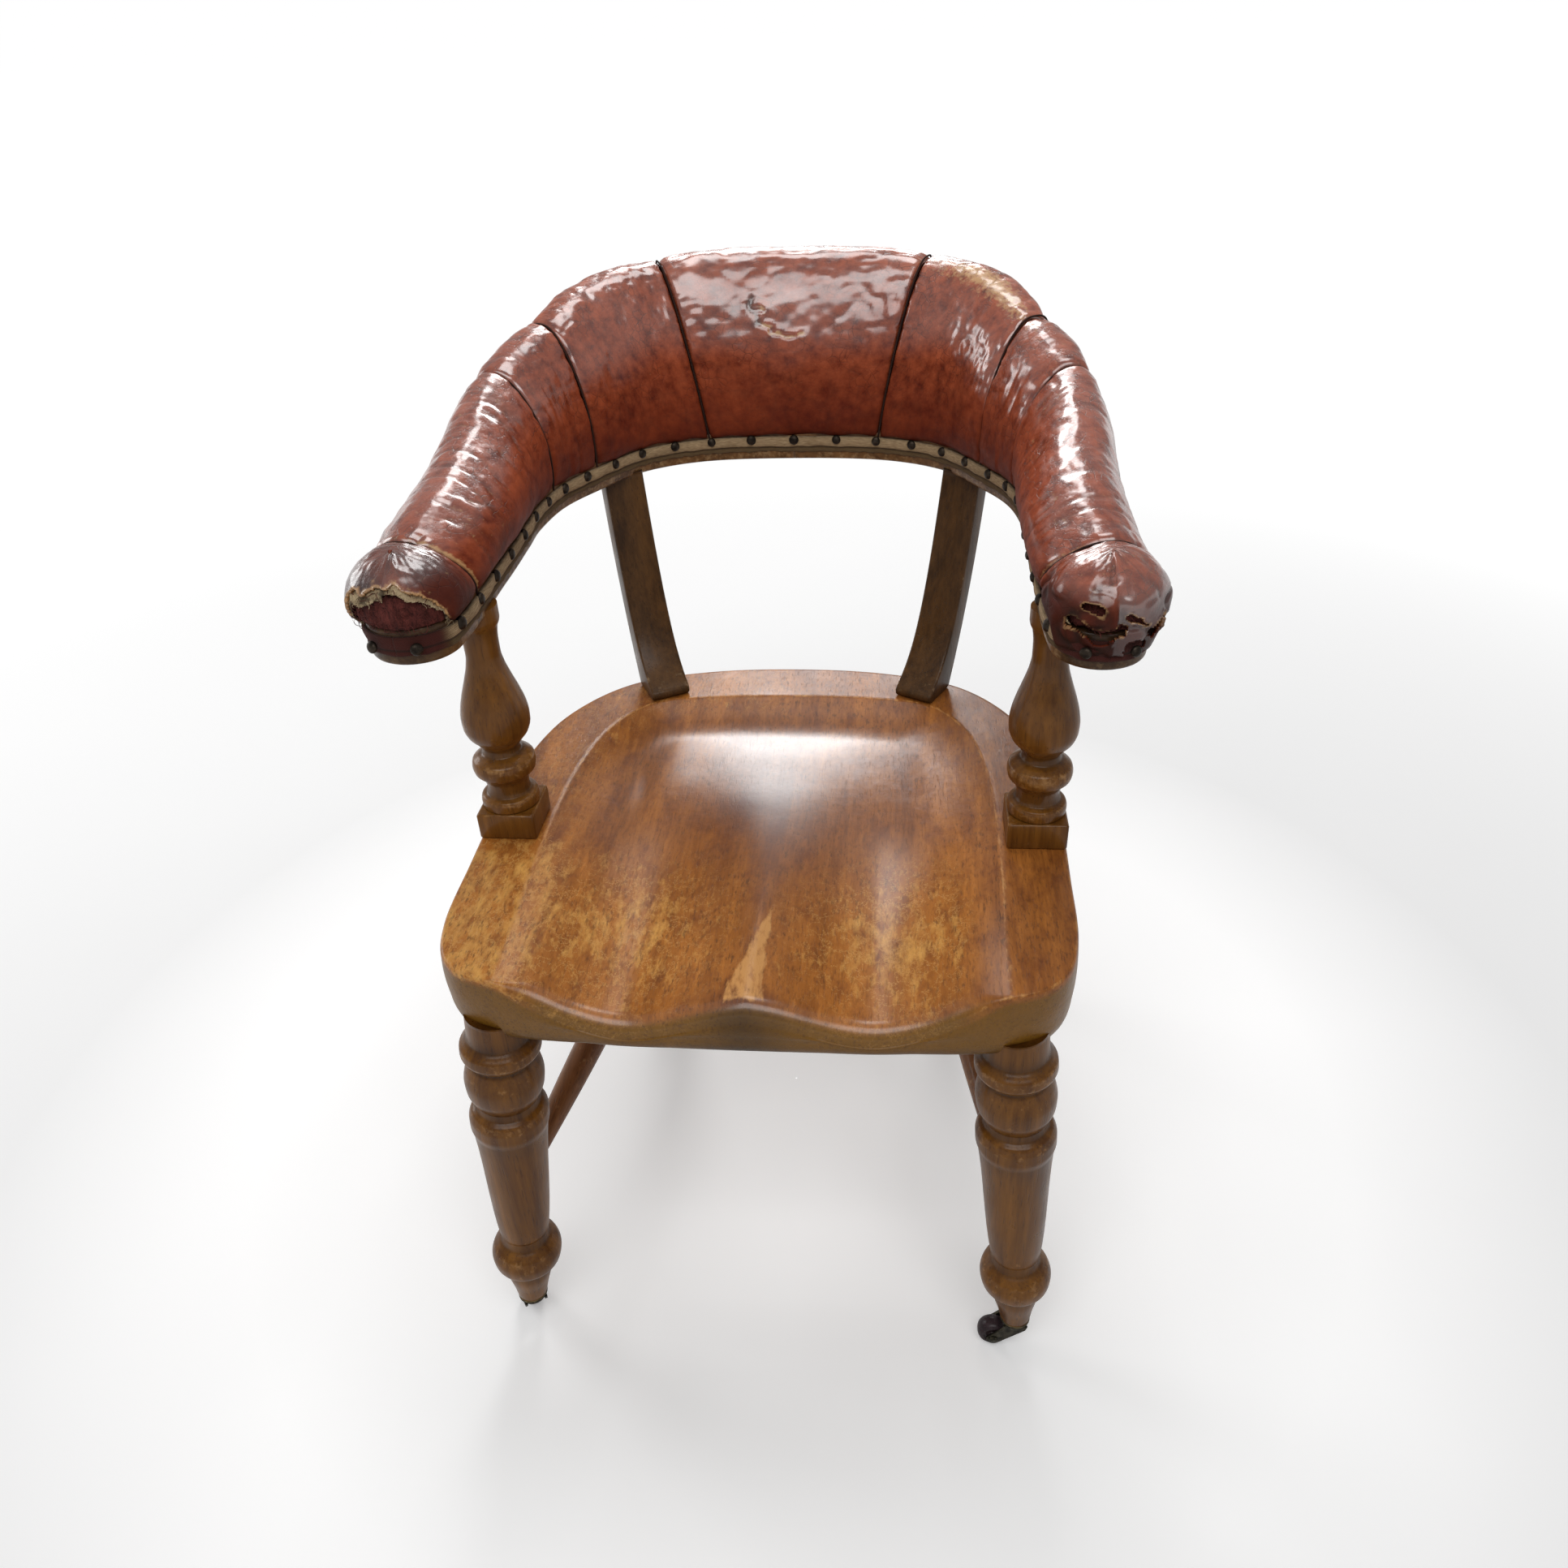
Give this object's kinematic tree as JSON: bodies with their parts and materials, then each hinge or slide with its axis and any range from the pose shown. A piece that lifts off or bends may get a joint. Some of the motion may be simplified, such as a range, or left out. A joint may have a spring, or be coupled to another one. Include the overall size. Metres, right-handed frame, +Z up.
{
  "type": "captains chair",
  "caption": "Captain's chair: dished wooden seat on turned legs with castors, and a horseshoe arm rail that carries a stuffed leather roll, taller at the back.",
  "frame": {"origin": "on the floor under the middle of the chair's bounding box", "axes": "+Z up, -Y the way the sitter faces, +X to the sitter's left, which is the right in the picture"},
  "size_m": [0.5974, 0.6698, 0.8461],
  "materials": {
    "seat_wood": "polished, worn reddish brown",
    "turned_wood": "dark waxed brown",
    "rail_wood": "worn golden brown",
    "leather": "shiny, cracked oxblood hide",
    "stuffing": "fibrous hair stuffing",
    "tape": "coarse tan border tape",
    "castor_metal": "dark, tarnished",
    "wheel": "dark, hard, rounded"
  },
  "bodies": {
    "chair_frame": {"seat": "seat_wood", "front_leg_left": "turned_wood", "front_leg_right": "turned_wood", "rear_leg_left": "turned_wood", "rear_leg_right": "turned_wood", "side_stretcher_left": "turned_wood", "side_stretcher_right": "turned_wood", "cross_stretcher": "turned_wood", "arm_post_left": "turned_wood", "arm_post_right": "turned_wood", "back_upright_left": "turned_wood", "back_upright_right": "turned_wood", "arm_rail_left": "rail_wood", "arm_rail_right": "rail_wood", "crest_rail": "rail_wood", "back_stuffing": "stuffing", "arm_stuffing_left": "stuffing", "arm_stuffing_right": "stuffing", "back_leather": "leather", "shoulder_leather_left": "leather", "shoulder_leather_right": "leather", "elbow_leather_left": "leather", "elbow_leather_right": "leather", "arm_leather_left": "leather", "arm_leather_right": "leather", "cap_leather_left": "leather", "cap_leather_right": "leather", "border_tape_inner": "tape", "border_tape_outer": "tape", "castor_plate_front_left": "castor_metal", "castor_plate_front_right": "castor_metal", "castor_plate_rear_left": "castor_metal", "castor_plate_rear_right": "castor_metal"},
    "castor_fork_front_left": {"castor_horn_front_left": "castor_metal", "castor_axle_front_left": "castor_metal"},
    "castor_fork_front_right": {"castor_horn_front_right": "castor_metal", "castor_axle_front_right": "castor_metal"},
    "castor_fork_rear_left": {"castor_horn_rear_left": "castor_metal", "castor_axle_rear_left": "castor_metal"},
    "castor_fork_rear_right": {"castor_horn_rear_right": "castor_metal", "castor_axle_rear_right": "castor_metal"},
    "castor_roller_front_left": {"castor_wheel_front_left": "wheel"},
    "castor_roller_front_right": {"castor_wheel_front_right": "wheel"},
    "castor_roller_rear_left": {"castor_wheel_rear_left": "wheel"},
    "castor_roller_rear_right": {"castor_wheel_rear_right": "wheel"}
  },
  "joints": [
    {"name": "swivel_front_left", "type": "hinge", "parent": "chair_frame", "child": "castor_fork_front_left", "pos_m": [-0.2255, -0.30652, 0.03], "axis": [0, 0, 1], "continuous": true},
    {"name": "swivel_front_right", "type": "hinge", "parent": "chair_frame", "child": "castor_fork_front_right", "pos_m": [0.2255, -0.30652, 0.03], "axis": [0, 0, 1], "continuous": true},
    {"name": "swivel_rear_left", "type": "hinge", "parent": "chair_frame", "child": "castor_fork_rear_left", "pos_m": [-0.162, 0.17948, 0.03], "axis": [0, 0, 1], "continuous": true},
    {"name": "swivel_rear_right", "type": "hinge", "parent": "chair_frame", "child": "castor_fork_rear_right", "pos_m": [0.162, 0.17948, 0.03], "axis": [0, 0, 1], "continuous": true},
    {"name": "roll_front_left", "type": "hinge", "parent": "castor_fork_front_left", "child": "castor_roller_front_left", "pos_m": [-0.235, -0.29007, 0.014], "axis": [0.866, 0.5, 0], "continuous": true},
    {"name": "roll_front_right", "type": "hinge", "parent": "castor_fork_front_right", "child": "castor_roller_front_right", "pos_m": [0.2065, -0.30652, 0.014], "axis": [0, 1, 0], "continuous": true},
    {"name": "roll_rear_left", "type": "hinge", "parent": "castor_fork_rear_left", "child": "castor_roller_rear_left", "pos_m": [-0.17845, 0.18898, 0.014], "axis": [0.5, 0.866, 0], "continuous": true},
    {"name": "roll_rear_right", "type": "hinge", "parent": "castor_fork_rear_right", "child": "castor_roller_rear_right", "pos_m": [0.17845, 0.18898, 0.014], "axis": [0.5, -0.866, 0], "continuous": true}
  ]
}
